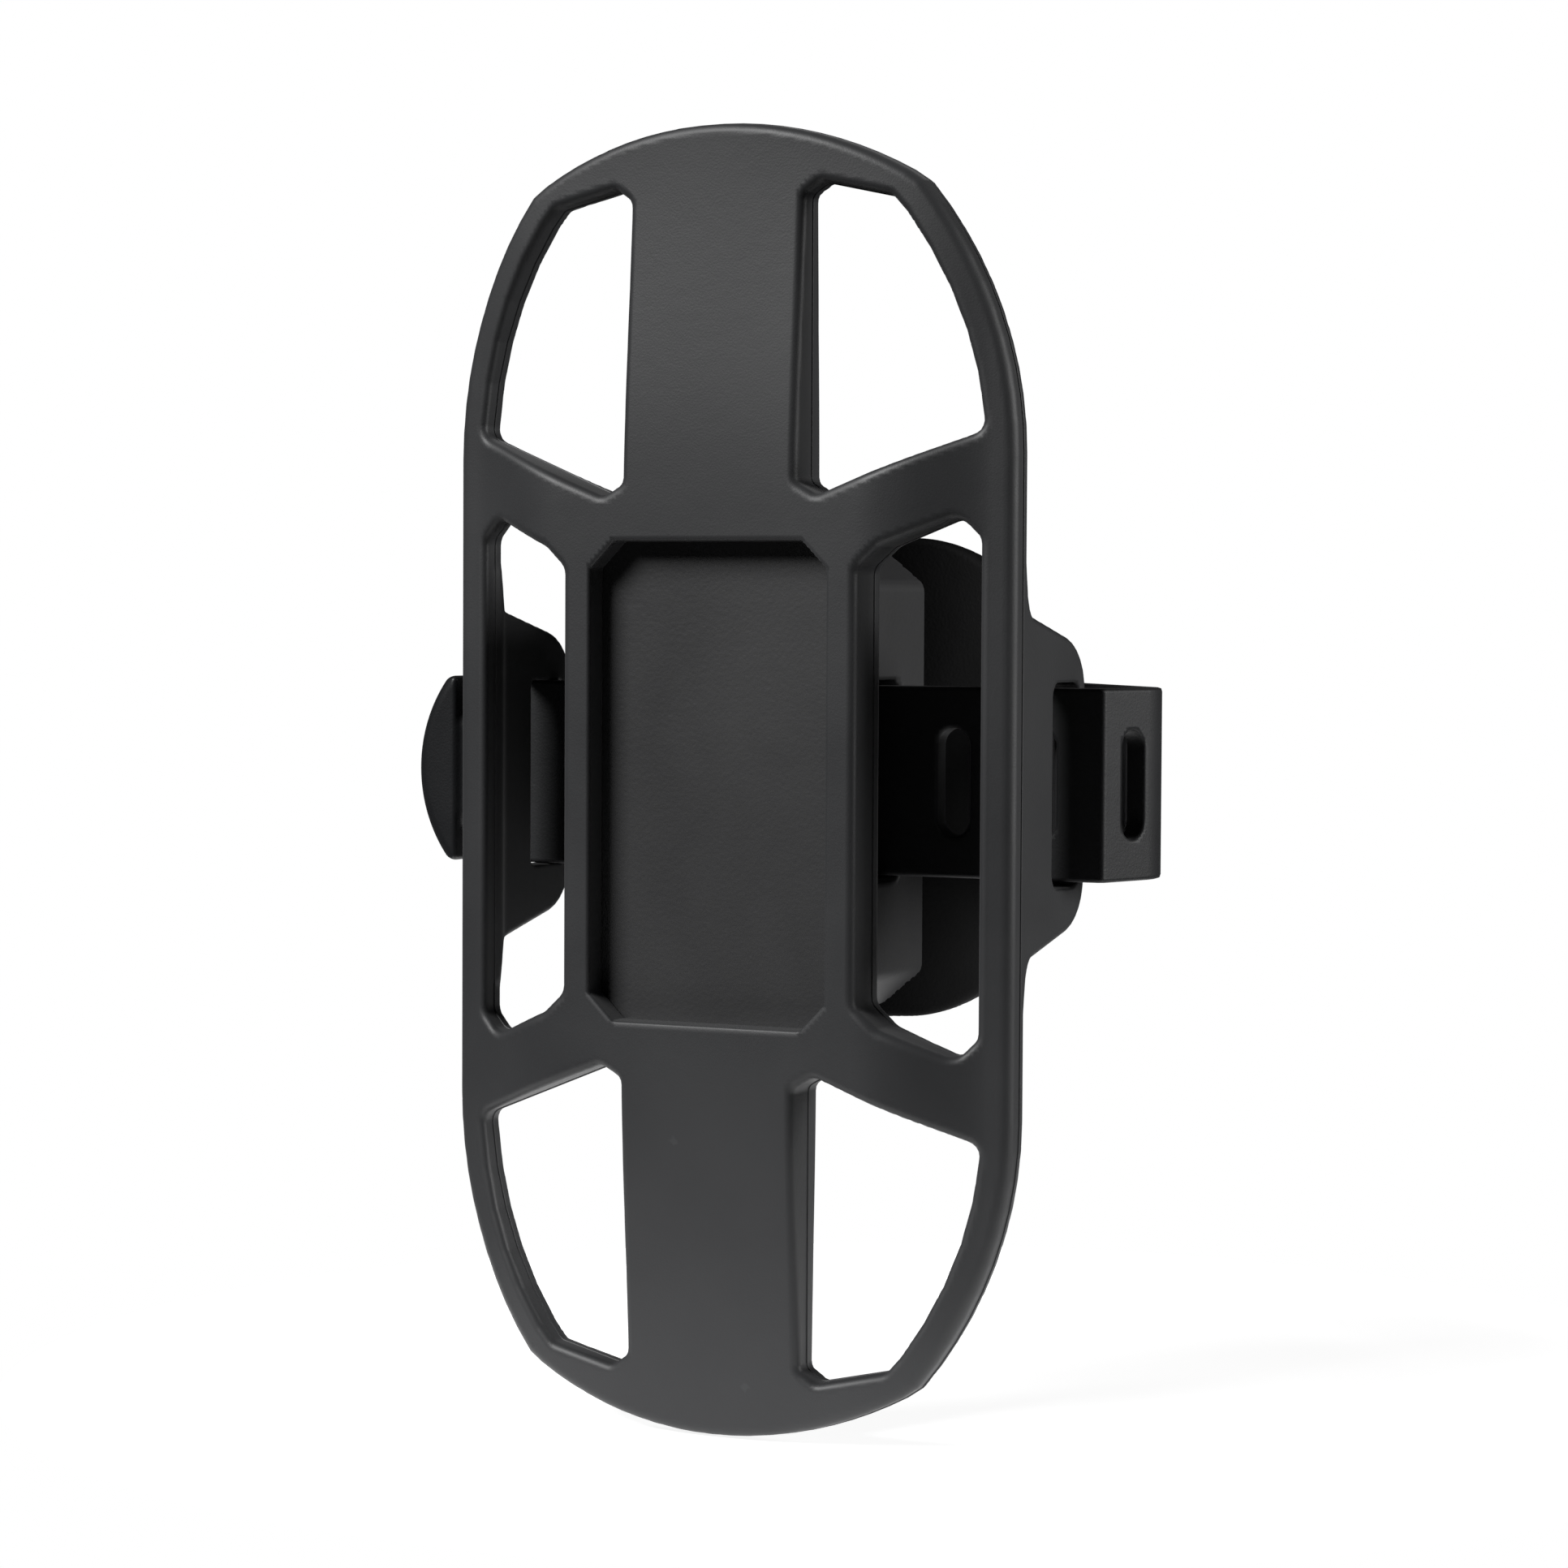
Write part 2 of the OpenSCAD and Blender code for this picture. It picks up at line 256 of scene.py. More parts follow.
def surface_net(field, low, high, step):
    """Points, four-sided faces and normals of the surface where field is zero."""
    axes = [np.arange(a - 2.5 * step, b + 3.5 * step, step) for a, b in zip(low, high)]
    grid = np.meshgrid(*axes, indexing="ij", sparse=True)
    value = np.array(np.broadcast_to(field(*grid), [len(a) for a in axes]), np.float32)
    inside = value < 0
    corners = [(i, j, k) for i in (0, 1) for j in (0, 1) for k in (0, 1)]
    cells = np.array(value.shape) - 1

    def corner_of(array, c):
        return array[c[0]:c[0] + cells[0], c[1]:c[1] + cells[1], c[2]:c[2] + cells[2]]

    full = sum(corner_of(inside, c).astype(np.int8) for c in corners)
    active = np.argwhere((full > 0) & (full < 8))
    at_corner = {c: value[tuple((active + c).T)] for c in corners}
    total = np.zeros((len(active), 3))
    crossings = np.zeros(len(active))
    for axis in range(3):
        for c in corners:
            if c[axis]:
                continue
            far = tuple(np.array(c) + np.eye(3, dtype=int)[axis])
            near_value, far_value = at_corner[c], at_corner[far]
            cross = (near_value < 0) != (far_value < 0)
            share = np.where(cross, near_value / np.where(cross, near_value - far_value, 1), 0)
            place = np.array(c) + share[:, None] * np.eye(3)[axis]
            total += place * cross[:, None]
            crossings += cross
    start = np.array([a[0] for a in axes])
    points = start + step * (active + total / crossings[:, None])
    number = np.full(cells, -1)
    number[tuple(active.T)] = np.arange(len(active))
    faces = []
    for axis in range(3):
        ahead = np.eye(3, dtype=int)[axis]
        b, c = np.eye(3, dtype=int)[(axis + 1) % 3], np.eye(3, dtype=int)[(axis + 2) % 3]
        near = inside[tuple(slice(0, n - d) for n, d in zip(inside.shape, ahead))]
        far = inside[tuple(slice(d, n) for n, d in zip(inside.shape, ahead))]
        for found, order in ((near & ~far, 1), (~near & far, -1)):
            at = np.argwhere(found)
            ring = [number[tuple((at - off).T)] for off in (0 * b, b, b + c, c)]
            faces.append(np.stack(ring[::order], axis=1))
    return settle(field, points, step) + (np.concatenate(faces),)


def gradient(field, points, reach=0.02):
    slopes = []
    for axis in range(3):
        off = reach * np.eye(3)[axis]
        slopes.append(field(*(points + off).T) - field(*(points - off).T))
    return np.stack(slopes, axis=1) / (2 * reach)


def settle(field, points, step, passes=3):
    """Moves points on to the surface, and returns them with the surface's normals."""
    for _ in range(passes):
        slope = gradient(field, points)
        move = field(*points.T) / np.maximum((slope ** 2).sum(1), 0.2)
        points = points - np.clip(move, -step / 2, step / 2)[:, None] * slope
    slope = gradient(field, points)
    return points, slope / np.maximum(np.linalg.norm(slope, axis=1), 1e-6)[:, None]


def add_mesh(name, points, faces, material, normals=None):
    """A smooth piece from points in millimetres."""
    mesh = bpy.data.meshes.new(name)
    mesh.from_pydata((np.asarray(points) * MM).tolist(), [], [list(map(int, f)) for f in faces])
    mesh.shade_smooth()
    if normals is not None:
        mesh.normals_split_custom_set_from_vertices(np.asarray(normals).tolist())
    mesh.materials.append(material)
    piece = bpy.data.objects.new(name, mesh)
    bpy.context.scene.collection.objects.link(piece)
    return piece


def solid(name, field, low, high, step, material):
    points, normals, faces = surface_net(field, low, high, step)
    return add_mesh(name, points, faces, material, normals)


def bead(name, paths, r, material, sides=8):
    """Thin round beads along closed or open paths of points."""
    points, faces, normals = [], [], []
    for path, closed in paths:
        path = np.array(path)
        ahead = np.roll(path, -1, axis=0) - np.roll(path, 1, axis=0)
        if not closed:
            ahead[0], ahead[-1] = path[1] - path[0], path[-1] - path[-2]
        ahead /= np.linalg.norm(ahead, axis=1)[:, None]
        across = np.cross(ahead, np.array([0.13, 1.0, 0.07]))
        across /= np.linalg.norm(across, axis=1)[:, None]
        other = np.cross(ahead, across)
        first = len(points)
        for centre, u, v in zip(path, across, other):
            for k in range(sides):
                t = 2 * math.pi * k / sides
                normals.append(u * math.cos(t) + v * math.sin(t))
                points.append(centre + r * normals[-1])
        rings = len(path) if closed else len(path) - 1
        for i in range(rings):
            here, there = first + i * sides, first + (i + 1) % len(path) * sides
            for k in range(sides):
                n = (k + 1) % sides
                faces.append((here + k, here + n, there + n, there + k))
        if not closed:
            faces.append([first + k for k in range(sides)][::-1])
            faces.append([first + rings * sides + k for k in range(sides)])
    return add_mesh(name, points, faces, material, normals)


# Materials


def add_node(tree, kind, **inputs):
    made = tree.nodes.new(kind)
    for name, value in inputs.items():
        made.inputs[name.replace("_", " ")].default_value = value
    return made


def ramp(tree, source, low, high, from_value, to_value):
    """Maps source between low and high to between from_value and to_value."""
    made = add_node(tree, "ShaderNodeMapRange", From_Min=low, From_Max=high,
                    To_Min=from_value, To_Max=to_value)
    tree.links.new(source, made.inputs["Value"])
    return made.outputs["Result"]


def noise(tree, place, scale, detail=4.0, distortion=0.0):
    made = add_node(tree, "ShaderNodeTexNoise", Scale=scale, Detail=detail, Distortion=distortion)
    tree.links.new(place, made.inputs["Vector"])
    return made.outputs["Fac"]


def moulded(name, dark, light, roughness, grain, bump, sheen, wear, specular=0.5):
    """A moulded elastomer or plastic: mottled colour, rubbed edges and a fine grain."""
    material = bpy.data.materials.new(name)
    material.use_nodes = True
    tree = material.node_tree
    shader = tree.nodes["Principled BSDF"]
    place = tree.nodes.new("ShaderNodeTexCoord").outputs["Object"]

    mottle = noise(tree, place, 38.0, 5.0, 0.3)
    tint = add_node(tree, "ShaderNodeMix")
    tint.data_type = "RGBA"
    tint.inputs["A"].default_value = (*dark, 1)
    tint.inputs["B"].default_value = (*light, 1)
    tree.links.new(ramp(tree, mottle, 0.35, 0.7, 0.0, 1.0), tint.inputs["Factor"])

    pointed = tree.nodes.new("ShaderNodeNewGeometry").outputs["Pointiness"]
    rubbed = add_node(tree, "ShaderNodeMath")
    rubbed.operation = "MULTIPLY"
    tree.links.new(ramp(tree, pointed, 0.55, 0.62, 0.0, 1.0), rubbed.inputs[0])
    tree.links.new(ramp(tree, noise(tree, place, 160.0), 0.4, 0.65, 0.2, wear), rubbed.inputs[1])
    worn = add_node(tree, "ShaderNodeMix")
    worn.data_type = "RGBA"
    worn.inputs["B"].default_value = (*[2.2 * c for c in light], 1)
    tree.links.new(rubbed.outputs[0], worn.inputs["Factor"])
    tree.links.new(tint.outputs["Result"], worn.inputs["A"])
    tree.links.new(worn.outputs["Result"], shader.inputs["Base Color"])

    smear = noise(tree, place, 55.0, 6.0, 0.8)
    low, high = roughness
    tree.links.new(ramp(tree, smear, 0.3, 0.72, low, high), shader.inputs["Roughness"])

    fine = noise(tree, place, grain, 3.0)
    broad = noise(tree, place, grain / 9, 2.0)
    both = add_node(tree, "ShaderNodeMath")
    both.operation = "ADD"
    tree.links.new(fine, both.inputs[0])
    tree.links.new(broad, both.inputs[1])
    relief = add_node(tree, "ShaderNodeBump", Strength=bump, Distance=0.00006)
    tree.links.new(both.outputs[0], relief.inputs["Height"])
    tree.links.new(relief.outputs["Normal"], shader.inputs["Normal"])

    shader.inputs["Sheen Weight"].default_value = sheen
    shader.inputs["Sheen Roughness"].default_value = 0.45
    shader.inputs["Specular IOR Level"].default_value = specular
    return material


WEB_SILICONE = moulded("web_silicone", (0.020, 0.0205, 0.022), (0.026, 0.0265, 0.028),
                       (0.46, 0.58), 5200.0, 0.2, 0.10, 0.3)
# The strap is moulded of the same silicone as the web; its colour is made darker than the web's as
# painted shade, standing for the shade the strap lies in behind the web.
SHADED_STRAP_SILICONE = moulded("strap_silicone", (0.011, 0.0115, 0.0125), (0.015, 0.0155, 0.017),
                         (0.45, 0.58), 4600.0, 0.35, 0.04, 0.4, 0.4)
# The toggle is moulded in one with the strap; its colour is made darker again than the strap's as
# painted shade, standing for the shade on its head.
SHADED_TOGGLE_SILICONE = moulded("toggle_silicone", (0.008, 0.0085, 0.0095), (0.012, 0.0125, 0.014),
                          (0.36, 0.48), 4600.0, 0.3, 0.04, 0.45, 0.4)
BLOCK_PLASTIC = moulded("block_plastic", (0.022, 0.022, 0.023), (0.030, 0.030, 0.031),
                        (0.48, 0.6), 2600.0, 0.35, 0.02, 0.3)
# The pad is black rubber, and its colour is also darkened past that rubber's own black as painted
# shade, standing for the deep shade on the pad inside the mount.
PAD_RUBBER_AND_SHADE = moulded("pad_rubber", (0.004, 0.004, 0.0042), (0.007, 0.007, 0.0073),
                     (0.66, 0.8), 3400.0, 0.7, 0.0, 0.2, 0.12)


# Web: one elastic moulding

CORNER_WINDOW = rounded(
    [(COLUMN_HALF_W, 28.4), (11.4, 27.2), (26.8, 33.2)]
    + arc((SIDE_X, SIDE_Z), SIDE_R - BAR_W, BAR_FROM_ANGLE, SIDE_ANGLE - 2, 4)
    + [(17.9, 54.9), (11.0, 56.4), (COLUMN_HALF_W, 55.2)],
    [1.0, 1.0, 1.4, 0, 0, 0, 0, 0, 1.2, 1.0, 1.0])
MIDDLE_WINDOW = rounded(
    [(FRAME_HALF[0], -20.4), (17.8, -22.4), (24.6, -25.2), (MIDDLE_WINDOW_OUT, -23.2),
     (MIDDLE_WINDOW_OUT, 23.2), (24.6, 25.2), (17.8, 22.4), (FRAME_HALF[0], 20.4)],
    [1.5] * 8)
QUARTER = (arc((SIDE_X, SIDE_Z), SIDE_R, 0, SIDE_ANGLE)
           + arc((0, WEB_HALF_H - TOP_R), TOP_R, TOP_ANGLE, 90))
EAR_OUTLINE = rounded(EAR_HALF + [(level, -z) for level, z in EAR_HALF[::-1]],
                      [0, 3.0, 5.5, 5.5, 3.0, 0])


def web_field(x, y, z):
    across, up, level = np.abs(x), np.abs(z), y + STEM_DEPTH
    beyond = 2 * WEB_HALF_H
    edge = outline(across, up, [(-beyond, -beyond), (WEB_HALF_W, -beyond)]
                   + QUARTER + [(-beyond, WEB_HALF_H)])
    windows = np.maximum(-outline(across, up, CORNER_WINDOW), -outline(across, z, MIDDLE_WINDOW))

    # The centre frame stands proud of the swept sheet and runs out softly into it
    share = (smooth(1 - (across - FRAME_HALF[0]) / FRAME_SHOULDER[0])
             * smooth(1 - (up - FRAME_HALF[1]) / FRAME_SHOULDER[1]))
    behind = SWEEP_R - np.hypot(x, level - SWEEP_R)
    front = -behind + share * (behind - level + RIM_LEVEL)
    back = behind - WEB_T + share * (level - behind + WEB_T - COLLAR_LEVEL)
    sheet = carve(carve(windows, front, WEB_FRONT_EDGE_R), back, WEB_BACK_EDGE_R)

    ear = carve(WEB_HALF_W - EAR_T - across, outline(level, z, EAR_OUTLINE), WEB_BACK_EDGE_R)
    body = carve(weld(sheet, ear, EAR_ROOT_R), edge, WEB_OUTER_EDGE_R)
    half_h = np.where(x > 0, SLOT_HALF_H, TOGGLE_SLOT_HALF_H)
    corner = np.where(x > 0, SLOT_CORNER, TOGGLE_SLOT_CORNER)
    slot = rounded_box(level - SLOT_LEVEL, z, SLOT_HALF_DEPTH, half_h, corner)
    body = carve(body, -np.maximum(slot, WEB_HALF_W / 2 - across), CUT_EDGE_R)

    recess = np.maximum(octagon(x, z, RECESS_HALF, RECESS_CHAMFER), level - FLOOR_LEVEL - 0.2)
    pocket = np.maximum(octagon(x, z, FLANGE_HALF, FRAME_CHAMFER),
                        np.abs(level - FLOOR_LEVEL - FLANGE_T / 2) - FLANGE_T / 2)
    body = carve(body, -recess, CUT_EDGE_R)
    return np.maximum(np.maximum(body, -pocket), -octagon(x, z, NECK_HALF, NECK_CHAMFER))


def web_wall(points, behind):
    """Points of an outline, laid on the swept sheet at a distance behind its front."""
    r = SWEEP_R - behind
    return [(x, SWEEP_R - STEM_DEPTH - math.sqrt(r * r - x * x), z) for x, z in points]


def parting_paths():
    """The mould's parting line, along every wall of the web, as closed paths."""
    top = QUARTER + [(-x, z) for x, z in QUARTER[::-1]]
    outlines = [top + [(x, -z) for x, z in top[::-1]]]
    for sx in (1, -1):
        outlines.append([(sx * x, z) for x, z in MIDDLE_WINDOW])
        for sz in (1, -1):
            outlines.append([(sx * x, sz * z) for x, z in CORNER_WINDOW])
    return [(web_wall(points, PARTING_DEPTH), True) for points in outlines]


web = solid("web", web_field, WEB_LOW, WEB_HIGH, 0.42, WEB_SILICONE)
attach(web, "mount")
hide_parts("web_harness")

web_parting = bead("web_parting_line", parting_paths(), PARTING_R, WEB_SILICONE)
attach(web_parting, "mount")


# Block and saddle pad


def block_field(x, y, z):
    level = y + STEM_DEPTH
    flange = carve(octagon(x, z, FLANGE_HALF, FRAME_CHAMFER, 0.4),
                   np.abs(level - FLOOR_LEVEL - FLANGE_T / 2) - FLANGE_T / 2, 0.15)
    neck = carve(octagon(x, z, NECK_HALF, NECK_CHAMFER, 0.5),
                 np.maximum(y - NECK_BACK, FLOOR_LEVEL + 0.3 - level), 0.3)
    body = weld(flange, neck, 0.3)
    channel = rounded_box(level - SLOT_LEVEL, z, SLOT_HALF_DEPTH, SLOT_HALF_H, SLOT_CORNER)
    body = carve(body, -channel, 0.4)
    return carve(body, PAD_R - np.hypot(x, y), 0.1)


def pad_field(x, y, z):
    r = np.hypot(x, y)
    plan = rounded_box(x, z, PAD_HALF_W, PAD_HALF_H, PAD_CORNER_R)
    skin = np.abs(r - (STEM_R + PAD_R) / 2) - (PAD_R - STEM_R) / 2
    count = np.clip(np.round(z / GROOVE_PITCH), -GROOVES_EACH_WAY, GROOVES_EACH_WAY)
    groove = np.hypot(z - GROOVE_PITCH * count, np.maximum(np.abs(x) - GROOVE_HALF_L, 0)) - GROOVE_R
    groove = np.maximum(groove, r - STEM_R - GROOVE_DEPTH)
    body = carve(carve(skin, plan, PAD_EDGE_R), y - LIP_Y, PAD_EDGE_R)
    return carve(body, -groove, 0.25)


block = solid("block", block_field, FLANGE_LOW, FLANGE_HIGH, 0.42, BLOCK_PLASTIC)
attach(block, "mount")
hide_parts("base_block")

pad = solid("pad", pad_field, PAD_LOW, PAD_HIGH, 0.36, PAD_RUBBER_AND_SHADE)
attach(pad, "mount")
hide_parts("saddle_pad")


# Strap: moulded flat, then led along its path in plan


def direction(angle):
    return np.array([math.cos(math.radians(angle)), math.sin(math.radians(angle))])


def touch_angle(point, side):
    """Angle round the stem where a straight strap from point meets the wrap."""
    turned = math.degrees(math.atan2(point[1], point[0]))
    return turned + side * math.degrees(math.acos(WRAP_R / math.hypot(*point)))


RIGHT_FOLD = np.array([RUN_RIGHT_X, RUN_Y])
RIGHT_BEND = RIGHT_FOLD + FLARE_L * direction(FLARE)
HOOK_BEND = np.array([HOOK_X, HOOK_BEND_Y])
WRAP_FROM = touch_angle(RIGHT_BEND, 1)
WRAP_TO = touch_angle(HOOK_BEND, -1) + 360
STEM_CORNER = (WRAP_R / math.cos(math.radians((WRAP_TO - WRAP_FROM) / 2))
               * direction((WRAP_FROM + WRAP_TO) / 2))
PLAN = [np.array([RUN_LEFT_X, RUN_HIGH[1]]), np.array([RUN_LEFT_X, RUN_Y]), RIGHT_FOLD,
        RIGHT_BEND, STEM_CORNER, HOOK_BEND, np.array([HOOK_X, HOOK_END_Y])]
PLAN_RADII = [FOLD_R, FOLD_R, BEND_R, WRAP_R, BEND_R]


def plan_steps():
    """The path's straights and bends: length, start, heading and turn per millimetre."""
    steps = []
    here = PLAN[0]
    heading = math.atan2(*(PLAN[1] - PLAN[0])[::-1])
    for corner, following, r in zip(PLAN[1:], PLAN[2:], PLAN_RADII):
        onward = math.atan2(*(following - corner)[::-1])
        turn = (onward - heading + math.pi) % (2 * math.pi) - math.pi
        reach = r * math.tan(abs(turn) / 2)
        ahead = np.array([math.cos(heading), math.sin(heading)])
        steps.append((np.linalg.norm(corner - here) - reach, here, heading, 0.0))
        steps.append((abs(turn) * r, corner - reach * ahead, heading, math.copysign(1 / r, turn)))
        heading = onward
        here = corner + reach * np.array([math.cos(heading), math.sin(heading)])
    steps.append((np.linalg.norm(PLAN[-1] - here), here, heading, 0.0))
    return steps


# The steps in order: toggle end, fold, run, crisp fold, flare, bend, straight, wrap, straight,
# bend, hook end
STEPS = plan_steps()
RUN, CRISP_FOLD, FLARED, STRAIGHT, HOOK_STRAIGHT, HOOK_TURN = 2, 3, 4, 6, 8, 9
STARTS = np.concatenate([[0], np.cumsum([length for length, *_ in STEPS])])
STRAP_L = STARTS[-1]


def led(flat, normals):
    """Takes points and normals from the flat strap (along, through, across) to their place."""
    s, through = flat[:, 0], flat[:, 1]
    which = np.clip(np.searchsorted(STARTS, s, side="right") - 1, 0, len(STEPS) - 1)
    begin = np.array([step[1] for step in STEPS])[which]
    heading = np.array([step[2] for step in STEPS])[which]
    bend = np.array([step[3] for step in STEPS])[which]
    run = s - STARTS[which]
    turned = heading + bend * run
    # A moulded fold is a mitre: its two faces run straight on to a crisp line
    length = np.array([step[0] for step in STEPS])[which]
    sharp = which == CRISP_FOLD
    from_face = np.minimum(run, length - run) * np.abs(bend)
    nearer_face = np.where(run < length / 2, heading, heading + bend * length)
    facing_turn = np.where(sharp, nearer_face, turned)
    safe = np.where(bend == 0, 1, bend)
    x = np.where(bend == 0, run * np.cos(heading), (np.sin(turned) - np.sin(heading)) / safe)
    y = np.where(bend == 0, run * np.sin(heading), (np.cos(heading) - np.cos(turned)) / safe)
    left = np.stack([-np.sin(turned), np.cos(turned)], axis=1)
    to_line = np.where(sharp, (1 / np.cos(from_face) - 1) * (through - 1 / safe), 0)
    plan = begin + np.stack([x, y], axis=1) + (through + to_line)[:, None] * left
    ahead = np.stack([np.cos(facing_turn), np.sin(facing_turn)], axis=1)
    aside = np.stack([-np.sin(facing_turn), np.cos(facing_turn)], axis=1)
    facing = normals[:, :1] * ahead + normals[:, 1:2] * aside
    return (np.column_stack([plan, flat[:, 2]]), np.column_stack([facing, normals[:, 2]]))


TO_FIRST_HOLE = STARTS[RUN] + FIRST_HOLE_X - STEPS[RUN][1][0]
LEFT_CUT = (STARTS[HOOK_TURN] - 2 * JOINT_BEFORE_BEND
            + BEND_R * math.tan(STEPS[HOOK_TURN][0] / BEND_R / 2))
END_MARGIN = 3
LAST_HOLE = math.floor((LEFT_CUT - END_MARGIN - TO_FIRST_HOLE) / HOLE_PITCH)
TO_TOGGLE = STRAP_L - (TOGGLE_Y - HOOK_END_Y)


def strap_field(s, through, across):
    blade = rounded_box(s - STRAP_L / 2, across, STRAP_L / 2, STRAP_HALF_W, STRAP_END_R)
    body = carve(blade, np.abs(through) - STRAP_T / 2, STRAP_EDGE_R)
    count = np.clip(np.round((s - TO_FIRST_HOLE) / HOLE_PITCH), 0, LAST_HOLE)
    holes = stadium(s - TO_FIRST_HOLE - count * HOLE_PITCH, across, HOLE_HALF_L, HOLE_R)
    hook = stadium(s - TO_TOGGLE, across, (NECK_L + HOOK_SLACK) / 2, (NECK_W + HOOK_SLACK) / 2)
    return carve(body, -np.minimum(holes, hook), CUT_EDGE_R)


def open_ends(faces):
    """The loops of edges that only one face uses, each turned into one closing face."""
    edges = np.concatenate([faces[:, [k, (k + 1) % 4]] for k in range(4)])
    present = set(map(tuple, edges.tolist()))
    following = {b: a for a, b in present if (b, a) not in present}
    loops = []
    while following:
        first, at = following.popitem()
        loop = [first]
        while at != first:
            loop.append(at)
            at = following.pop(at)
        loops.append(loop)
    return loops


def strap_pieces(cuts, names, step=0.4):
    """The strap as separate closed pieces, cut across at the given distances along it."""
    low = (0, -STRAP_T / 2, -STRAP_HALF_W)
    high = (STRAP_L, STRAP_T / 2, STRAP_HALF_W)
    flat, normals, faces = surface_net(strap_field, low, high, step)
    centre = flat[faces].mean(axis=1)[:, 0]
    points, facing = led(flat, normals)
    made = []
    for name, start, end in zip(names, cuts[:-1], cuts[1:]):
        chosen = faces[(centre >= start) & (centre < end)]
        used, renumbered = np.unique(chosen, return_inverse=True)
        chosen = renumbered.reshape(chosen.shape)
        closed = [list(f) for f in chosen] + open_ends(chosen)
        made.append(add_mesh(name, points[used], closed, SHADED_STRAP_SILICONE, facing[used]))
    return made


def between_holes(s):
    """The middle of the bridge between two holes that is nearest to s."""
    return TO_FIRST_HOLE + (math.floor((s - TO_FIRST_HOLE) / HOLE_PITCH) + 0.5) * HOLE_PITCH


# Half the length of strap that bends at a live hinge
BLEND_REACH = 4.2
side_end = between_holes((STARTS[STRAIGHT] + STARTS[STRAIGHT + 1]) / 2)
back_end = between_holes(LEFT_CUT - BLEND_REACH - HOLE_PITCH / 2)
strap_front, strap_side, strap_back, strap_hook = strap_pieces(
    [-1, between_holes(TO_FIRST_HOLE), side_end, back_end, STRAP_L + 1],
    ["strap_front", "strap_side", "strap_back", "strap_hook"])

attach(strap_front, "strap")
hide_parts("strap_run")
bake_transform(strap_side)
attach(strap_back, "strap_tail")
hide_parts("strap_loop")
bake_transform(strap_hook)
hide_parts("strap_hook_end")


# Toggle


def toggle_field(x, y, z):
    out, aside = RUN_LOW[0] - x, y - TOGGLE_Y
    stem = stadium(aside, z, NECK_L / 2, NECK_W / 2)
    crown = np.hypot(out - HEAD_TOP + CROWN_R, z) - CROWN_R
    head = carve(np.abs(aside) - HEAD_HALF_W, crown, 1.5)
    head = carve(carve(head, np.abs(z) - HEAD_HALF_L, 0.5), HEAD_UNDER - out, 0.5)
    neck = np.maximum(stem, out - HEAD_UNDER - 1)
    foot = np.maximum(stem - 0.6, out)
    body = weld(weld(neck, head, 0.7), foot, 0.5)
    return np.maximum(body, -0.25 - out)


def toggle_parting():
    """The mould's line round the head, in the plane along its middle."""
    half = math.degrees(math.asin((HEAD_HALF_L - 0.5) / CROWN_R))
    crown = arc((HEAD_TOP - CROWN_R, 0), CROWN_R, -half, half, 24)
    return [(RUN_LOW[0] - out, TOGGLE_Y, z) for out, z in crown]


toggle = solid("toggle_head", toggle_field, TOGGLE_LOW, TOGGLE_HIGH, 0.22, SHADED_TOGGLE_SILICONE)
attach(toggle, "strap")
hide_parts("toggle")

toggle_line = bead("toggle_parting_line", [(toggle_parting(), False)], 0.1, SHADED_TOGGLE_SILICONE)
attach(toggle_line, "strap")


# Studio: a pale floor, soft lamps and the camera

AZIMUTH = math.radians(28)
ELEVATION = math.radians(2.4)
ROLL = math.radians(0.3)
DISTANCE = 0.4
SIDE_SHIFT = 0.0068
BACK = Vector((math.sin(AZIMUTH) * math.cos(ELEVATION),
               -math.cos(AZIMUTH) * math.cos(ELEVATION), math.sin(ELEVATION)))
RIGHT = Vector((math.cos(AZIMUTH), math.sin(AZIMUTH), 0))
LOOKED_AT = Vector((0, -STEM_DEPTH * MM, 0))


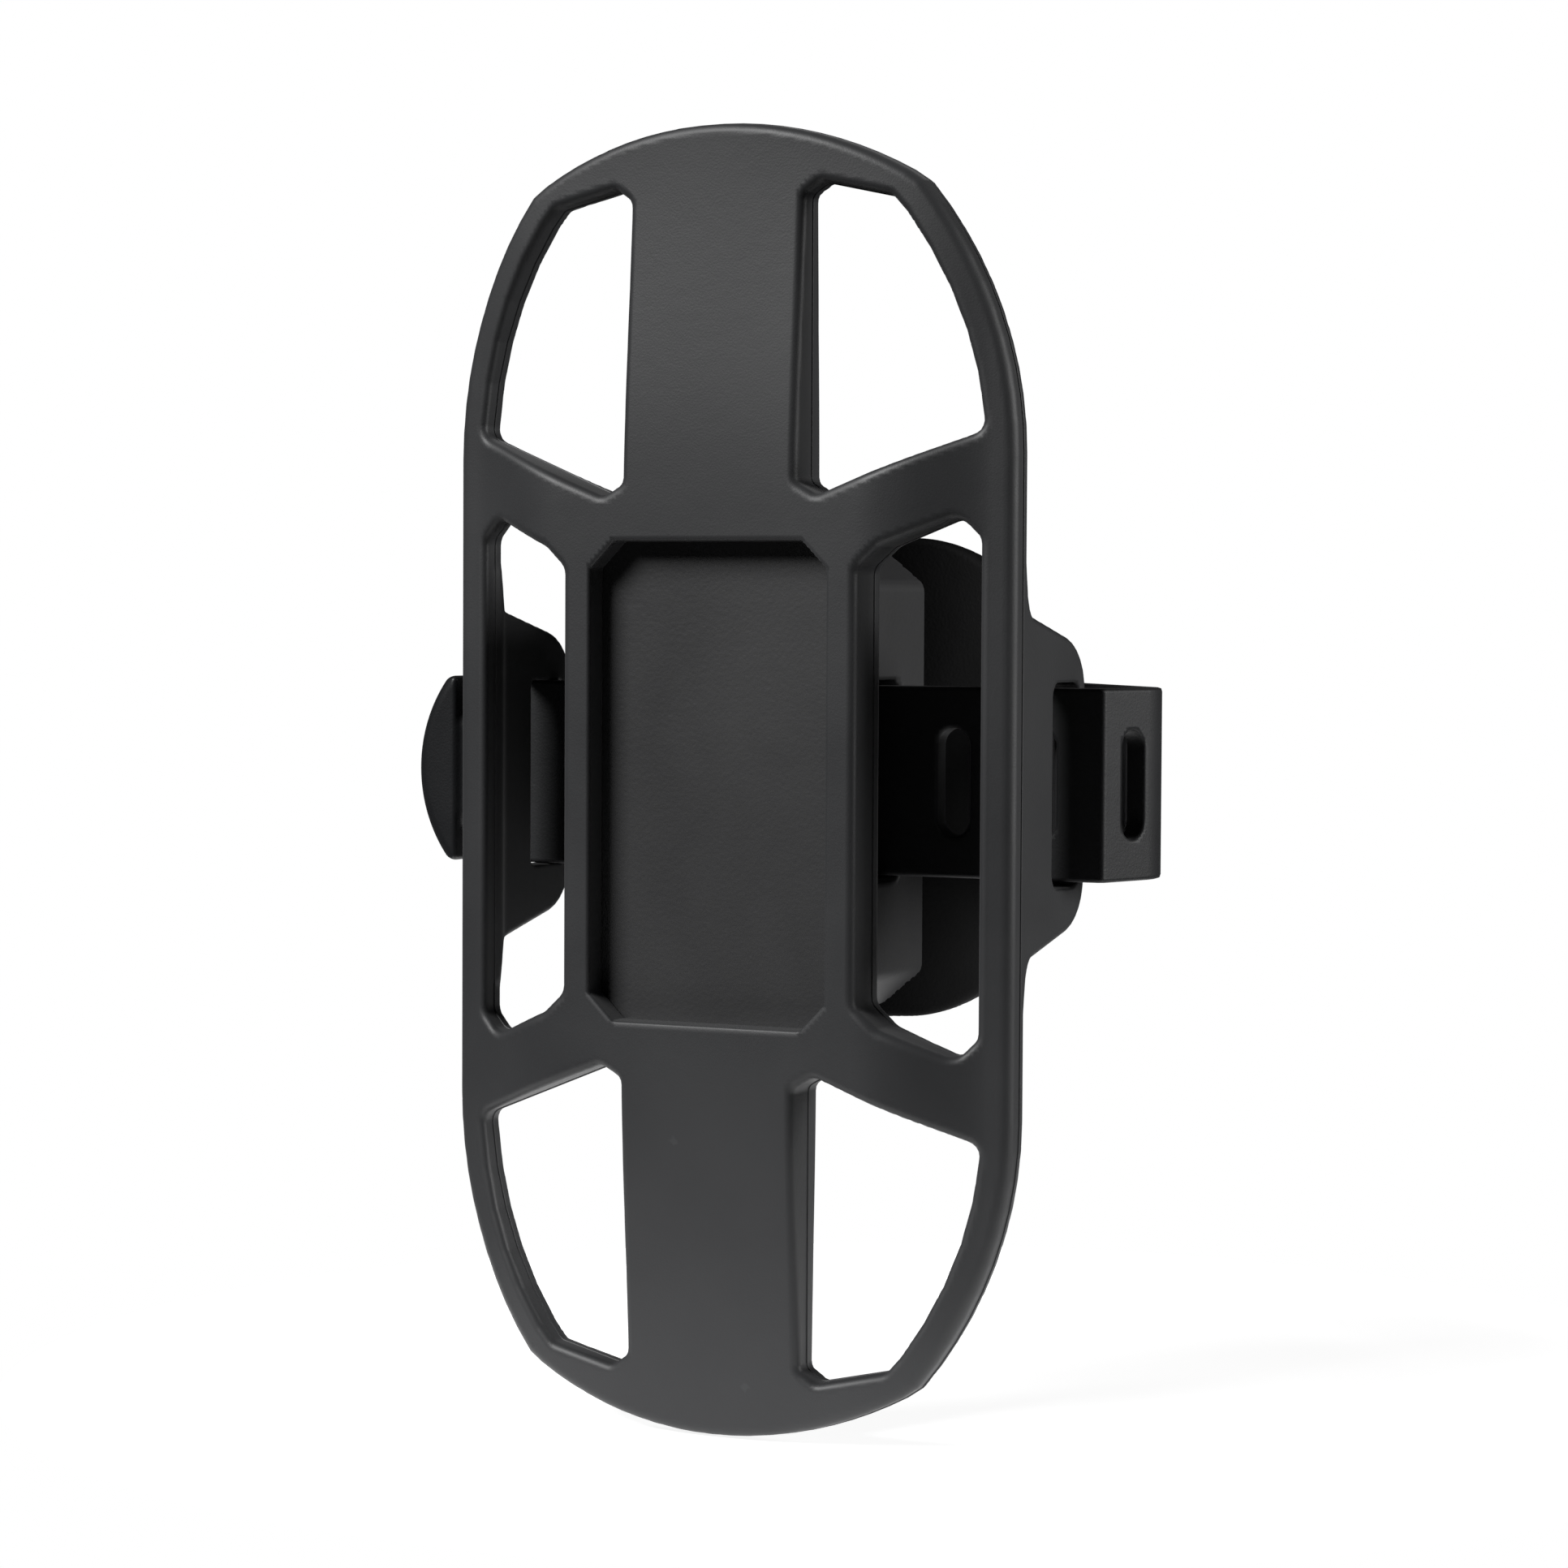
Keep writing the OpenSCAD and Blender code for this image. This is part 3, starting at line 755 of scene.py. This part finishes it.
def add_floor():
    """A round sheet of white, faintly glowing paper under the mount."""
    radius, height = 0.09, WEB_LOW[2] * MM - 0.0002
    rim = [(radius * math.cos(t), radius * math.sin(t), height)
           for t in np.linspace(0, 2 * math.pi, 96, endpoint=False)]
    mesh = bpy.data.meshes.new("floor")
    mesh.from_pydata(rim, [], [list(range(len(rim)))])
    material = bpy.data.materials.new("floor_paper")
    material.use_nodes = True
    tree = material.node_tree
    shader = tree.nodes["Principled BSDF"]
    place = tree.nodes.new("ShaderNodeTexCoord").outputs["Object"]
    fibre = ramp(tree, noise(tree, place, 900.0), 0.3, 0.7, 0.82, 0.92)
    tree.links.new(fibre, shader.inputs["Roughness"])
    shader.inputs["Base Color"].default_value = (0.5, 0.5, 0.5, 1)
    shader.inputs["Emission Color"].default_value = (1, 1, 1, 1)
    shader.inputs["Emission Strength"].default_value = 0.85
    mesh.materials.append(material)
    floor = bpy.data.objects.new("floor", mesh)
    bpy.context.scene.collection.objects.link(floor)


def add_lamp(name, place, size, power):
    """A square soft lamp, aimed at the mount."""
    lamp = bpy.data.objects.new(name, bpy.data.lights.new(name, "AREA"))
    lamp.data.size = size
    lamp.data.energy = power
    lamp.location = place
    lamp.rotation_euler = (LOOKED_AT - Vector(place)).to_track_quat("-Z", "Y").to_euler()
    bpy.context.scene.collection.objects.link(lamp)


def around(azimuth, elevation, distance):
    """A place seen from the mount at that azimuth and elevation, in degrees."""
    a, e = math.radians(azimuth), math.radians(elevation)
    level = distance * math.cos(e)
    return Vector((level * math.sin(a), -level * math.cos(a), distance * math.sin(e)))


def add_world():
    """White paper behind the mount, and only a dim glow on it."""
    world = bpy.data.worlds.new("studio")
    bpy.context.scene.world = world
    world.use_nodes = True
    tree = world.node_tree
    seen = tree.nodes.new("ShaderNodeLightPath").outputs["Is Camera Ray"]
    tree.links.new(ramp(tree, seen, 0, 1, 0.005, 1.0), tree.nodes["Background"].inputs["Strength"])
    tree.nodes["Background"].inputs["Color"].default_value = (1, 1, 1, 1)


def add_camera():
    camera = bpy.data.objects.new("camera", bpy.data.cameras.new("camera"))
    camera.data.lens = 97
    camera.data.clip_start = 0.01
    camera.location = LOOKED_AT + BACK * DISTANCE
    aim = LOOKED_AT + RIGHT * SIDE_SHIFT - camera.location
    camera.rotation_euler = aim.to_track_quat("-Z", "Y").to_euler()
    camera.rotation_euler.rotate_axis("Z", ROLL)
    bpy.context.scene.collection.objects.link(camera)
    bpy.context.scene.camera = camera


add_floor()
add_world()
add_camera()
add_lamp("fill", around(-32, 40, 1.1), 0.5, 15.5)
add_lamp("side", around(106, 14, 0.85), 0.4, 4.6)
bpy.context.scene.view_settings.view_transform = "Standard"
